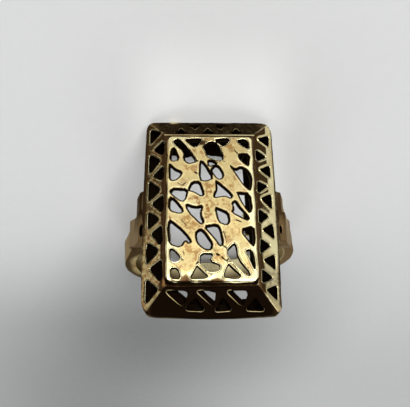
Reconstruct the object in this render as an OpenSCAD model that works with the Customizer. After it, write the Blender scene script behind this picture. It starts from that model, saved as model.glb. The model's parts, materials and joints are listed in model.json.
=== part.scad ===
// Dress ring: a long rectangular pierced head on a flat hoop with stepped shoulders.
// It is cast and soldered metal, one solid, in millimetres.
// It lies on its side, on one short end of the head and on the edge of the hoop.
// While it is built, x runs across the head, y along the finger and z out through the table,
// from the middle of the finger hole. The whole is then laid down at the end.

/* [Hoop] */
// Radius of the finger hole
finger_r = 9; // [8.6:0.1:9.2]
// Thickness of the hoop
hoop_wall = 1.3; // [1:0.1:1.5]
// Width of the hoop along the finger
hoop_w = 2.6; // [2.2:0.1:3]
// Turn of the hoop against the head, in degrees
hoop_turn = 4; // [0:0.5:5]

/* [Shoulders] */
// Outer top edge of the shoulders, from the middle of the ring
shoulder_x = 7.6; // [7.4:0.05:7.8]
// Height of that edge
shoulder_z = 11.2; // [10.9:0.1:11.4]
// Height where the top step ends
top_step_z = 9.4; // [9:0.1:9.8]
// Near and far end of the top step, along the finger
top_step_near = -0.2; // [-0.5:0.1:0]
top_step_far = 2.9; // [2.6:0.1:3.1]
// How far the top steps sit off the middle, across the hoop
top_step_shift = -0.15; // [-0.25:0.05:0]
// Height where the middle step ends
mid_step_z = 6; // [5.5:0.1:7]
// How far the middle step stands out from the others
mid_step_rise = 0.2; // [0.05:0.05:0.3]
// How far the upper steps and the gallery stay clear of the finger
finger_clear = 0.3; // [0.2:0.05:0.4]

/* [Head] */
// Distance from the middle of the head to the near corners of its rim
head_near = 10.7; // [10.5:0.05:10.9]
// Distance from the middle of the head to the far corners of its rim
head_far = 10.85; // [10.7:0.05:11]
// Width of the head at the corners of its rim
head_w = 13.8; // [13.5:0.05:14]
// How far the near short end bows outwards
near_bow = 0.42; // [0:0.02:0.5]
// How far the far short end bows outwards
far_bow = 0.1; // [0:0.05:0.2]
// How far the long sides bow outwards
side_bow = 0.15; // [0:0.05:0.3]
// Height of the rim's outer edge
rim_z = 12.2; // [12:0.1:12.4]
// Height where the gallery under the rim ends
gallery_z = 8.85; // [8.7:0.05:9.2]
// Length of the gallery at its foot
gallery_l = 18.5; // [18:0.1:19]
// Width of the gallery at its foot
gallery_w = 9.9; // [9.6:0.1:10.2]
// Shift of the head across the hoop
head_shift = -0.25; // [-0.4:0.05:0]
// Thickness of the table's sheet
sheet = 0.6; // [0.5:0.05:0.8]
// Thickness of the sloping frame, measured upright
frame_sheet = 0.7; // [0.6:0.05:0.9]
// Thickness of the gallery's walls, measured level
gallery_wall = 0.7; // [0.6:0.05:0.8]

/* [Table] */
// Height of the table's face above the middle of the finger hole
table_z = 14.5; // [14.3:0.1:14.7]
// Length of the table
table_l = 16.1; // [15.9:0.1:16.3]
// Width of the table
table_w = 9.1; // [9:0.1:9.2]
// Radius of the table's corners
table_corner = 0.8; // [0.5:0.1:1.2]
// Height of the ledge round the table's foot
ledge_z = 13.87; // [13.8:0.01:13.95]
// Width of the ledge at the long sides
ledge_side = 0.28; // [0.2:0.02:0.35]
// Width of the ledge at the short ends
ledge_end = 0.47; // [0.3:0.01:0.55]

/* [Hidden] */
$fn = 96;
gold = [0.82, 0.69, 0.42];

// Gaps in the table, each a run of corners in x and y from its middle, from the far end on
table_gaps = [
  [[-3.9, 7.5], [-3.3, 7.8], [-2.3, 6.7], [-1.3, 5.0], [-2.3, 4.7], [-2.8, 5.2], [-2.7, 6.1], [-3.9, 7.1]],
  [[-2.8, 7.6], [-1.9, 7.8], [-0.9, 7.8], [-0.9, 7.4], [-1.5, 6.6], [-2.0, 6.9]],
  [[-4.1, 6.4], [-3.7, 6.7], [-3.1, 5.1], [-4.3, 5.0]],
  [[-4.3, 4.8], [-3.7, 4.2], [-2.9, 3.8], [-3.1, 3.2], [-3.6, 2.8], [-4.2, 2.8], [-4.3, 4.0]],
  [[-1.1, 5.1], [-0.6, 4.9], [0.4, 3.0], [-0.5, 2.7], [-1.2, 2.9]],
  [[-0.9, 6.8], [0.0, 7.5], [0.8, 7.3], [1.5, 5.4], [1.1, 5.0], [0.5, 5.1], [-0.4, 5.6], [-0.5, 6.3]],
  [[0.4, 7.7], [1.2, 7.8], [2.0, 7.8], [2.2, 7.4], [1.4, 6.6], [0.6, 7.3]],
  [[2.8, 7.6], [3.6, 7.8], [4.1, 7.5], [4.2, 6.4], [3.6, 6.6], [2.9, 7.2]],
  [[-0.3, 5.1], [0.1, 5.2], [0.9, 4.7], [-0.2, 4.4]],
  [[0.1, 4.2], [0.5, 4.6], [1.0, 4.5], [1.4, 3.4], [1.2, 2.9], [0.7, 2.9], [0.1, 3.8]],
  [[3.0, 5.9], [4.2, 5.9], [4.1, 4.4], [3.7, 4.6], [3.0, 5.4]],
  [[2.0, 4.6], [2.6, 4.1], [3.2, 4.4], [3.9, 4.0], [4.3, 3.2], [4.2, 1.6], [3.7, 1.8], [2.7, 3.4]],
  [[-4.3, 1.6], [-3.7, 2.0], [-2.3, 1.8], [-2.5, 0.8], [-2.9, 0.4], [-4.0, 1.1]],
  [[-2.4, 1.6], [-1.9, 2.7], [-1.1, 2.8], [-0.7, 1.3], [-1.0, 1.0], [-1.8, 1.5]],
  [[0.5, 2.8], [0.9, 2.5], [2.3, 1.1], [2.1, 0.7], [1.4, 1.1], [0.4, 0.8], [0.3, 1.3], [0.6, 1.8]],
  [[2.6, 1.5], [4.1, 1.3], [4.2, -0.6], [3.8, -0.8], [2.8, 1.0]],
  [[2.1, 0.3], [2.6, 0.6], [3.1, -0.3], [4.0, -1.4], [3.6, -1.7], [2.1, -0.8], [2.3, -0.2]],
  [[-4.3, 1.0], [-3.6, 0.7], [-2.7, -0.6], [-3.1, -0.9], [-4.3, -0.6]],
  [[-2.6, 0.2], [-1.7, -0.2], [-0.7, 0.1], [-1.0, -1.0], [-0.6, -1.9], [-1.1, -2.1], [-2.4, -0.6]],
  [[0.4, -0.2], [0.9, -0.4], [1.8, -0.7], [1.9, -1.8], [1.5, -2.2], [0.7, -1.8]],
  [[-4.2, -1.5], [-3.6, -1.9], [-2.6, -2.9], [-1.9, -3.9], [-2.3, -4.2], [-2.6, -3.8], [-3.0, -4.5],
   [-4.2, -4.2], [-4.3, -2.8]],
  [[-1.7, -3.0], [-1.1, -2.5], [-0.6, -2.9], [0.2, -4.1], [0.0, -4.8], [-0.6, -4.8], [-1.5, -4.0]],
  [[-0.8, -2.3], [0.6, -2.0], [0.9, -2.6], [1.2, -4.1], [0.8, -4.4], [0.2, -3.4]],
  [[2.8, -2.6], [4.3, -2.2], [4.3, -3.9], [4.1, -4.5]],
  [[-4.2, -4.6], [-3.7, -4.6], [-2.9, -5.5], [-3.2, -6.0], [-3.7, -6.1], [-4.2, -5.9]],
  [[-1.2, -5.0], [0.3, -5.1], [-0.1, -5.9], [1.0, -6.3], [0.8, -6.9], [-0.3, -7.2], [-1.3, -6.2]],
  [[1.3, -5.0], [2.2, -3.9], [2.6, -4.3], [2.6, -5.6], [3.9, -7.2], [3.5, -7.7], [2.1, -6.2]],
  [[3.3, -4.8], [3.8, -4.6], [4.2, -5.1], [4.3, -6.8], [4.0, -6.9], [3.6, -5.7]],
  [[1.7, -5.9], [2.2, -6.2], [2.9, -7.4], [2.6, -7.8], [1.0, -7.7], [1.2, -7.0]],
  [[-1.4, -6.1], [-0.9, -6.4], [-0.2, -7.5], [-0.6, -7.8], [-2.2, -7.8], [-2.1, -7.3]],
  [[-4.1, -6.6], [-3.2, -6.5], [-2.9, -7.8], [-4.1, -7.8]],
];

// Triangular gaps in the frame. Each row is a gap's middle along its side, the width of its
// base and how far its tip leans along the side.
left_outer = [
  [8.8, 1.8, 0.1], [5.45, 2.2, 0.1], [2.25, 2.45, -0.1], [-1.05, 2.0, -0.1], [-4.65, 2.35, 0.15],
  [-8.5, 2.4, 0],
];
left_inner = [[7.05, 1.65, 0], [4.0, 1.7, 0], [0.55, 2.0, 0.2], [-2.9, 2.05, 0.25], [-6.6, 2.2, 0.25]];
right_outer = [
  [8.3, 1.5, -0.1], [4.6, 1.5, -0.1], [1.1, 1.75, 0], [-2.2, 1.75, -0.1], [-5.5, 1.7, 0],
  [-8.7, 1.6, 0.1],
];
right_inner = [[6.1, 1.35, 0.2], [2.4, 1.35, 0.4], [-0.9, 1.6, 0.3], [-4.1, 1.6, 0.3], [-7.2, 1.5, 0]];
near_outer = [[-1.65, 1.85, 0], [1.1, 1.7, 0], [4.2, 1.85, 0]];
near_inner = [[-3.3, 1.9, 0.2], [-0.45, 1.65, 0.2], [2.55, 1.8, 0.1]];
far_outer = [[-1.55, 1.1, 0], [1.3, 1.0, 0]];
far_inner = [[-3.1, 1.15, 0], [-0.1, 1.15, 0], [2.9, 1.1, 0]];
// Distances from the middle of the head to the bases and the tips of those gaps
side_outer = [6.55, 5.25];
side_inner = [4.85, 6.05];
near_outer_reach = [10.5, 9.25];
near_inner_reach = [8.62, 9.95];
far_outer_reach = [10.4, 9.5];
far_inner_reach = [8.75, 9.8];
// How far the near end's inner gaps lean sideways as they go down, in degrees
near_lean = 30;

// The middle step as seen along x, from its lower edge up to the rim: y and z
mid_step_front = [
  [-1.7, mid_step_z], [1.6, mid_step_z], [0.6, 9.6], [0.6, 11.6], [-2.8, 11.6], [-2.7, 9.6],
];

// Dark hollows between the shoulders and the rim: x, y, half length, half width
shoulder_hollows = [[-7.45, -1.6, 0.8, 0.2], [7.2, -1.5, 0.6, 0.13]];
hollow_z = 10.2;

// Radii of the rim's corners, anticlockwise from the one at plus x and plus y
rim_corners = [1.4, 1.0, 1.3, 0.8];

hoop_r = finger_r + hoop_wall;
head_l = head_near + head_far;
ledge_w = table_w + 2 * ledge_side;
ledge_l = table_l + 2 * ledge_end;
// Distances from the middle of the head: side of the rim, its near end and its far end
rim = [head_w / 2 + side_bow, head_near + near_bow, head_far + far_bow];
rim_low_z = rim_z - 0.15;
ledge = [ledge_w / 2, ledge_l / 2, ledge_l / 2];
table = [table_w / 2, table_l / 2, table_l / 2];
foot = [gallery_w / 2, gallery_l / 2, gallery_l / 2];

// The same three distances, all shorter by d
function in_by(reach, d) = [for (r = reach) r - d];

// Forms are rows of a height and the three distances there, from the lowest row up
head_levels = [
  [gallery_z, foot],
  [rim_z - 0.35, in_by(rim, 0.12)],
  [rim_low_z, rim],
  [rim_z + 0.1, rim],
  [rim_z + 0.22, in_by(rim, 0.06)],
  [rim_z + 0.3, in_by(rim, 0.16)],
  [ledge_z, ledge],
];
table_levels = [
  [ledge_z - 0.4, table],
  [table_z - 0.25, table],
  [table_z - 0.1, in_by(table, 0.06)],
  [table_z, in_by(table, 0.2)],
];

// The hollow of the head, from a mouth that is cut through the hoop up to the table's sheet
rim_wall = 0.66;
mouth_drop = 1.4;
mouth_in = 0.75;
hollow_levels = [
  [gallery_z - mouth_drop, in_by(foot, gallery_wall + mouth_in)],
  [gallery_z, in_by(foot, gallery_wall)],
  [rim_z - 0.3, in_by(rim, rim_wall)],
  [rim_z - 0.1, in_by(rim, rim_wall)],
  [ledge_z - frame_sheet, ledge],
  [ledge_z - frame_sheet / 2, in_by(table, 0.35)],
  [table_z - sheet, in_by(table, 0.7)],
];
table_cut_z = ledge_z - frame_sheet - 0.25;
frame_cut_z = rim_z - 0.12;

// Lying down: the tilt at which the far end of the rim and the edge of the hoop are level
edge_y = hoop_w / 2 * cos(hoop_turn);
lie_guess = atan2(rim[2] - edge_y, rim_low_z + hoop_r);
edge_gain = norm([1, sin(hoop_turn) / tan(lie_guess)]);
lie_tilt = atan2(rim[2] - edge_y, rim_low_z + edge_gain * hoop_r);
lie_drop = rim[2] * cos(lie_tilt) - rim_low_z * sin(lie_tilt);
lie_front = (table_l / 2 - 0.2) * sin(lie_tilt) + table_z * cos(lie_tilt);
lie_back = edge_y * sin(lie_tilt)
  + norm([hoop_r * sin(hoop_turn) * sin(lie_tilt), hoop_r * cos(lie_tilt)]);

// Outline with each corner cut into two, which rounds it
function soften(pts, share = 0.22) = [
  for (i = [0 : len(pts) - 1])
    let (a = pts[(i + len(pts) - 1) % len(pts)], b = pts[i], c = pts[(i + 1) % len(pts)])
    each [b + (a - b) * share, b + (c - b) * share]
];

// Rectangle with a radius of its own at each corner
function rounded_box(w, l, radii, steps = 5) = [
  for (k = [0 : 3])
    let (r = radii[k], sx = (k == 0 || k == 3) ? 1 : -1, sy = k < 2 ? 1 : -1)
    for (i = [0 : steps])
      let (a = 90 * (k + i / steps))
      [sx * (w / 2 - r) + r * cos(a), sy * (l / 2 - r) + r * sin(a)]
];

// The rim's outline: such a rectangle with more points on its sides, which all bow outwards
function rim_outline() =
  let (w = head_w, l = head_l, cuts = [-0.35, -0.15, 0, 0.15, 0.35])
  let (box = rounded_box(w, l, rim_corners))
  let (all = concat(
    [for (i = [0 : 5]) box[i]], [for (c = cuts) [-c * w, l / 2]],
    [for (i = [6 : 11]) box[i]], [for (c = cuts) [-w / 2, -c * l]],
    [for (i = [12 : 17]) box[i]], [for (c = cuts) [c * w, -l / 2]],
    [for (i = [18 : 23]) box[i]], [for (c = cuts) [w / 2, c * l]]))
  [for (p = all) [
    p.x + sign(p.x) * side_bow * (1 - pow(2 * p.y / l, 2)),
    p.y + (head_far - head_near) / 2 + (p.y > 0 ? far_bow : -near_bow) * (1 - pow(2 * p.x / w, 2)),
  ]];

// Where a line from p touches a circle round the origin, on the side of small angles
function touch_point(p, r) = let (a = atan2(p.y, p.x) - acos(r / norm(p))) r * [cos(a), sin(a)];

// Solid whose level sections are rectangles, from rows of a height and three distances
module levels_block(levels) {
  span = 40;
  intersection() {
    rotate([90, 0, 0]) linear_extrude(span, center = true) polygon(two_sided(levels, 0, 0));
    rotate([90, 0, 90]) linear_extrude(span, center = true) polygon(two_sided(levels, 2, 1));
  }
}

// Upright section through such rows, with the distances it takes on the plus and minus sides
function two_sided(levels, plus, minus) = concat(
  [for (row = levels) [row[1][plus], row[0]]],
  [for (i = [len(levels) - 1 : -1 : 0]) [-levels[i][1][minus], levels[i][0]]]);

module upright(outline, z0, z1) {
  translate([0, 0, z0]) linear_extrude(z1 - z0) polygon(outline);
}

// Sloping frame, rim and gallery, without their gaps
module frame_form() {
  intersection() {
    levels_block(head_levels);
    upright(rim_outline(), gallery_z - 1, table_z + 1);
  }
}

module table_form() {
  corners = [for (i = [0 : 3]) table_corner];
  intersection() {
    levels_block(table_levels);
    upright(rounded_box(table_w, table_l, corners), ledge_z - 1, table_z + 1);
  }
}

// Triangle with blunt corners for a gap on the side that faces plus x, widest near its base
function gap_outline(row, reach) =
  let (w = row[1], tip = row[0] + row[2], base_x = reach[0], tip_x = reach[1])
  let (wide_x = base_x + 0.2 * (tip_x - base_x))
  soften([
    [base_x, row[0] - 0.42 * w], [wide_x, row[0] - 0.5 * w], [tip_x, tip - 0.08 * w],
    [tip_x, tip + 0.08 * w], [wide_x, row[0] + 0.5 * w], [base_x, row[0] + 0.42 * w],
  ], 0.15);

module frame_gap(row, reach) {
  upright(gap_outline(row, reach), frame_cut_z, table_z + 1);
}

// The same gap, turned about a line in the frame so that it leans
module leaning_gap(row, reach) {
  turn_z = ledge_z - frame_sheet / 2;
  translate([0, row[0], turn_z]) rotate([near_lean, 0, 0]) translate([0, -row[0], -turn_z])
    frame_gap(row, reach);
}

module frame_gaps() {
  for (row = right_outer) frame_gap(row, side_outer);
  for (row = right_inner) frame_gap(row, side_inner);
  mirror([1, 0, 0]) {
    for (row = left_outer) frame_gap(row, side_outer);
    for (row = left_inner) frame_gap(row, side_inner);
  }
  mirror([0, 1, 0]) mirror([1, -1, 0]) {
    for (row = near_outer) frame_gap(row, near_outer_reach);
    for (row = near_inner) leaning_gap(row, near_inner_reach);
  }
  mirror([1, -1, 0]) {
    for (row = far_outer) frame_gap(row, far_outer_reach);
    for (row = far_inner) frame_gap(row, far_inner_reach);
  }
}

module head() {
  translate([head_shift, 0, 0]) difference() {
    union() {
      frame_form();
      table_form();
    }
    frame_gaps();
    for (gap = table_gaps) upright(soften(gap), table_cut_z, table_z + 1);
  }
}

// Side view of a shoulder at plus x: from the hoop, or a circle a little outside it, up to the rim
function shoulder_outline(side, top_x, foot_r) =
  let (shift = side * head_shift, top = [top_x, shoulder_z])
  [
    touch_point(top, foot_r),
    top,
    [rim[0] - 0.35 + shift, rim_z - 0.3],
    [gallery_w / 2 - 0.35 + shift, gallery_z + 0.05],
    [gallery_w / 2 - 0.6 + shift, gallery_z - 1],
    [finger_r - 0.5, 1.5],
  ];

// One step of a shoulder: that side view, kept to its outline as seen along x
module shoulder_step(side, top_x, foot_r, front) {
  mirror([side < 0 ? 1 : 0, 0, 0]) intersection() {
    rotate([90, 0, 0]) linear_extrude(head_w, center = true) polygon(shoulder_outline(side, top_x, foot_r));
    rotate([90, 0, 90]) linear_extrude(2 * hoop_r) polygon(front);
  }
}

// Corners of a rectangle from its lowest and highest values
function box_corners(u0, v0, u1, v1) = [[u0, v0], [u1, v0], [u1, v1], [u0, v1]];

module upper_steps() {
  top_front = box_corners(top_step_near, top_step_z, top_step_far, table_z);
  for (side = [-1, 1]) {
    shoulder_step(side, shoulder_x + side * top_step_shift, hoop_r, top_front);
    shoulder_step(side, shoulder_x + mid_step_rise, hoop_r + mid_step_rise, mid_step_front);
  }
}

module lower_steps() {
  lap = 0.5;
  for (side = [-1, 1])
    shoulder_step(side, shoulder_x, hoop_r, box_corners(-hoop_w / 2, 0, hoop_w / 2, top_step_z + lap));
}

module hoop() {
  rotate([90, 0, 0]) cylinder(r = hoop_r, h = hoop_w, center = true);
}

module finger_hole(r = finger_r) {
  rotate([90, 0, hoop_turn]) cylinder(r = r, h = 2 * head_l, center = true);
}

// Upright pit with a lens outline, two arcs meeting at its ends
module lens_pit(half_l, half_w, depth) {
  r = (half_l * half_l + half_w * half_w) / (2 * half_w);
  intersection() {
    translate([r - half_w, 0, 0]) cylinder(r = r, h = depth);
    translate([half_w - r, 0, 0]) cylinder(r = r, h = depth);
  }
}

module whole_ring() {
  difference() {
    union() {
      // Only the hoop bears on the finger: the rest is cut back in an arch over it
      difference() {
        union() {
          head();
          upper_steps();
        }
        finger_hole(finger_r + finger_clear);
      }
      rotate([0, 0, hoop_turn]) {
        lower_steps();
        hoop();
      }
    }
    translate([head_shift, 0, 0]) levels_block(hollow_levels);
    finger_hole();
    for (h = shoulder_hollows)
      translate([h[0], h[1], hollow_z]) lens_pit(h[2], h[3], 2);
  }
}

module ring() {
  color(gold)
    translate([0, (lie_front - lie_back) / 2, lie_drop])
      rotate([90 - lie_tilt, 0, 0])
        rotate([0, 0, 180])
          whole_ring();
}

ring();
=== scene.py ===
# Dress ring with a long pierced head, lying on its side on a pale floor.
# The ring's own frame is in millimetres from the middle of the finger hole:
# x across the head, y along the finger, z out through the table.
import json
import math

import bmesh
import bpy
import numpy as np
from mathutils import Euler, Matrix, Vector, noise
from mathutils.bvhtree import BVHTree
from mathutils.kdtree import KDTree

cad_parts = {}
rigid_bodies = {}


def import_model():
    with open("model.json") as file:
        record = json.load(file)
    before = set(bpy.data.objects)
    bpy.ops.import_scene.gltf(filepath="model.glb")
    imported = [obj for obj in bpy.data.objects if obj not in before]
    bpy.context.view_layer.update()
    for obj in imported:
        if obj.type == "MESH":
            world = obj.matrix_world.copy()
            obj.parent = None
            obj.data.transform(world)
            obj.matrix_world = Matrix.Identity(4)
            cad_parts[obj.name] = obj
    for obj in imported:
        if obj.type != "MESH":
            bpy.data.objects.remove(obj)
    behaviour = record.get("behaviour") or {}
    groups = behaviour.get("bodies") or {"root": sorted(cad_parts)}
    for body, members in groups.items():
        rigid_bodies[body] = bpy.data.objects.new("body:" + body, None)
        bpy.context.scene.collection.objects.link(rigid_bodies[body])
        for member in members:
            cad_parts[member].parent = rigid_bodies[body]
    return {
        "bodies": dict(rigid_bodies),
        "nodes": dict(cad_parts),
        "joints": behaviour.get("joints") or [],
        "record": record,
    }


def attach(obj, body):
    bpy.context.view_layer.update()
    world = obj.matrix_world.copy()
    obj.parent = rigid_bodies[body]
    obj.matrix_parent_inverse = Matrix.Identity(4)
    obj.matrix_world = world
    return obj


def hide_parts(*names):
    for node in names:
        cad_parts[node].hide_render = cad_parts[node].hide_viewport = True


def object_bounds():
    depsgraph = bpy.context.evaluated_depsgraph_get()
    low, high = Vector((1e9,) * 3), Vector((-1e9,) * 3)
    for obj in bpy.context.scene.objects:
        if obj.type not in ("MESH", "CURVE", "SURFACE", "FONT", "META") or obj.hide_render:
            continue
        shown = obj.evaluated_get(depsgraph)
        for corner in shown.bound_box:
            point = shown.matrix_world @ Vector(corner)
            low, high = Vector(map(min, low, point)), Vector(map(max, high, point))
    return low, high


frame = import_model()
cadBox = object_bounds()

# How the ring lies, in degrees and millimetres
lying = {"tilt": 23.236, "forward": 3.2202, "up": 5.3079}

tiltSin = math.sin(math.radians(lying["tilt"]))
tiltCos = math.cos(math.radians(lying["tilt"]))
layDown = Matrix(((-1, 0, 0), (0, -tiltSin, -tiltCos), (0, -tiltCos, tiltSin)))
ringPlace = Matrix.Translation((0, lying["forward"], lying["up"]))
ringToFloor = Matrix.Scale(0.001, 4) @ ringPlace @ layDown.to_4x4()
floorToRing = ringToFloor.inverted()


class Wire:
    # A socket of a node tree. Sums on wires add Math nodes, so they read as plain sums.
    def __init__(self, tree, socket):
        self.tree = tree
        self.socket = socket

    @staticmethod
    def node(tree, kind, settings=None, values=None, out=0):
        made = tree.nodes.new(kind)
        for name, value in (settings or {}).items():
            setattr(made, name, value)
        for name, value in (values or {}).items():
            if isinstance(value, Wire):
                tree.links.new(value.socket, made.inputs[name])
            else:
                made.inputs[name].default_value = value
        return Wire(tree, made.outputs[out]) if made.outputs else None

    def other(self, out):
        return Wire(self.tree, self.socket.node.outputs[out])

    def sum(self, operation, a, b=0.0):
        return Wire.node(self.tree, "ShaderNodeMath", {"operation": operation}, {0: a, 1: b})

    def __add__(self, b):
        return self.sum("ADD", self, b)

    def __radd__(self, a):
        return self.sum("ADD", a, self)

    def __sub__(self, b):
        return self.sum("SUBTRACT", self, b)

    def __rsub__(self, a):
        return self.sum("SUBTRACT", a, self)

    def __mul__(self, b):
        return self.sum("MULTIPLY", self, b)

    def __rmul__(self, a):
        return self.sum("MULTIPLY", a, self)

    def __abs__(self):
        return self.sum("ABSOLUTE", self)

    def step(self, low, high):
        # 0 below low, 1 above high, smooth between
        return Wire.node(self.tree, "ShaderNodeMapRange", {"interpolation_type": "SMOOTHSTEP"},
                         {"Value": self, "From Min": low, "From Max": high})

    def blend(self, a, b):
        # colour a where this wire is 0, b where it is 1
        return Wire.node(self.tree, "ShaderNodeMix", {"data_type": "RGBA"}, {0: self, 6: a, 7: b}, out=2)


def colour(red, green, blue):
    return (red, green, blue, 1)


# Camera and surroundings

def makeCamera():
    view = {
        "place": (-2.586, -23.391, 69.459),
        "turn": (0.40521, -0.02705, -0.01057),
        "lens": 51.76,
        "sensor": 36.0,
        "near": 0.005,
    }
    data = bpy.data.cameras.new("camera")
    data.lens = view["lens"]
    data.sensor_width = view["sensor"]
    data.clip_start = view["near"]
    camera = bpy.data.objects.new("camera", data)
    bpy.context.collection.objects.link(camera)
    turned = layDown @ Euler(view["turn"], "XYZ").to_matrix()
    camera.matrix_world = Matrix.Translation(ringToFloor @ Vector(view["place"])) @ turned.to_4x4()
    bpy.context.scene.camera = camera
    print("camera at", [round(v, 4) for v in camera.location])


def makeFloor():
    # The card is pale in front and darker behind, a painted falloff of light, most of all where the ring's
    # own soft shade falls, as a painted shadow.
    # The falloff, shade, near and lift terms each give where they start, where they are full, and how strong
    # they are.
    floor = {
        "half": 1.2, "pale": (0.93, 0.945, 0.945), "dark": (0.16, 0.162, 0.162), "roughness": 0.85,
        "grain": 900, "mottle": 0.03, "base": 0.35, "paintedFalloff": (-0.01, 0.045, 0.22),
        "shade": (0.004, 0.028, 0.3), "shadeX": 0.009, "slant": 0.2, "shadeWide": 0.042,
        "near": (0.0, 0.016, 0.14), "nearTo": (0.026, 0.05), "nearWide": (0.006, 0.028),
        "lift": (0.004, 0.014, 0.36), "paintedLightFrom": (-0.026, -0.012), "paintedLightWide": (0.004, 0.011),
    }
    mesh = bpy.data.meshes.new("floor")
    h = floor["half"]
    mesh.from_pydata([(-h, -h, 0), (h, -h, 0), (h, h, 0), (-h, h, 0)], [], [(0, 1, 2, 3)])
    made = bpy.data.objects.new("floor", mesh)
    bpy.context.collection.objects.link(made)
    material = bpy.data.materials.new("paleCard")
    material.use_nodes = True
    tree = material.node_tree
    shader = tree.nodes["Principled BSDF"]
    shader.inputs["Roughness"].default_value = floor["roughness"]
    place = Wire.node(tree, "ShaderNodeTexCoord", out="Object")
    x = Wire.node(tree, "ShaderNodeSeparateXYZ", {}, {0: place}, out="X")
    y = x.other("Y")
    mottle = Wire.node(tree, "ShaderNodeTexNoise", {},
                       {"Vector": place, "Scale": floor["grain"], "Detail": 2})
    fallFrom, fallTo, paintedFalloff = floor["paintedFalloff"]
    shadeFrom, shadeTo, shade = floor["shade"]
    nearFrom, nearTo, near = floor["near"]
    paintedLightFrom, paintedLightTo, lift = floor["lift"]
    aside = abs(x - floor["shadeX"] - floor["slant"] * y)
    # painted falloff of light: darker towards the back
    depth = floor["base"] + y.step(fallFrom, fallTo) * paintedFalloff
    # painted shadow of the ring, reaching back and to one side
    depth = depth + y.step(shadeFrom, shadeTo) * (1 - aside.step(0.0, floor["shadeWide"])) * shade
    # painted shadow close round the ring
    paintedShadowAround = (y.step(nearFrom, nearTo) - y.step(*floor["nearTo"])) * (1 - abs(x).step(*floor["nearWide"]))
    depth = depth + paintedShadowAround * near
    # painted light under the ring and just in front of it, where the head's own shadow falls
    paintedLightUnder = (y.step(*floor["paintedLightFrom"]) - y.step(paintedLightFrom, paintedLightTo)) * (1 - abs(x).step(*floor["paintedLightWide"]))
    depth = depth - paintedLightUnder * lift
    depth = depth + (mottle - 0.5) * floor["mottle"]
    tone = depth.blend(colour(*floor["pale"]), colour(*floor["dark"]))
    tree.links.new(tone.socket, shader.inputs["Base Color"])
    mesh.materials.append(material)
    print("floor laid")


def makeLights():
    # Bright round the horizon and dark overhead, with three cards that face the ring
    sky = {"horizon": 0.6, "top": 0.02, "fadeFrom": 0.3, "fadeTo": 0.75}
    cards = {
        "frontCard": {"at": (0.0, -0.6, 0.09), "size": (1.0, 0.16), "watts": 0.42, "tint": (1.0, 0.99, 0.96)},
        "keyCard": {"at": (-0.14, -0.55, 0.40), "size": (0.5, 0.35), "watts": 5.0, "tint": (1.0, 0.99, 0.97)},
        "backCard": {"at": (0.05, 0.4, 0.65), "size": (0.9, 0.7), "watts": 3.0, "tint": (0.97, 0.98, 1.0)},
    }
    world = bpy.data.worlds.new("studio")
    world.use_nodes = True
    tree = world.node_tree
    way = Wire.node(tree, "ShaderNodeTexCoord", out="Generated")
    up = Wire.node(tree, "ShaderNodeSeparateXYZ", {}, {0: way}, out="Z")
    shade = up.step(sky["fadeFrom"], sky["fadeTo"])
    tone = shade.blend(colour(*[sky["horizon"]] * 3), colour(*[sky["top"]] * 3))
    tree.links.new(tone.socket, tree.nodes["Background"].inputs["Color"])
    bpy.context.scene.world = world
    for name, card in cards.items():
        data = bpy.data.lights.new(name, "AREA")
        data.shape = "RECTANGLE"
        data.size, data.size_y = card["size"]
        data.energy = card["watts"]
        data.color = card["tint"]
        lamp = bpy.data.objects.new(name, data)
        lamp.location = card["at"]
        lamp.rotation_euler = (-Vector(card["at"])).to_track_quat("-Z", "Y").to_euler()
        bpy.context.collection.objects.link(lamp)
    print("lights:", len(cards))


# Finish: worn gold alloy, darkened by tarnish, dirt and painted shade, and paler where worn and where
# highlights are painted

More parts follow.
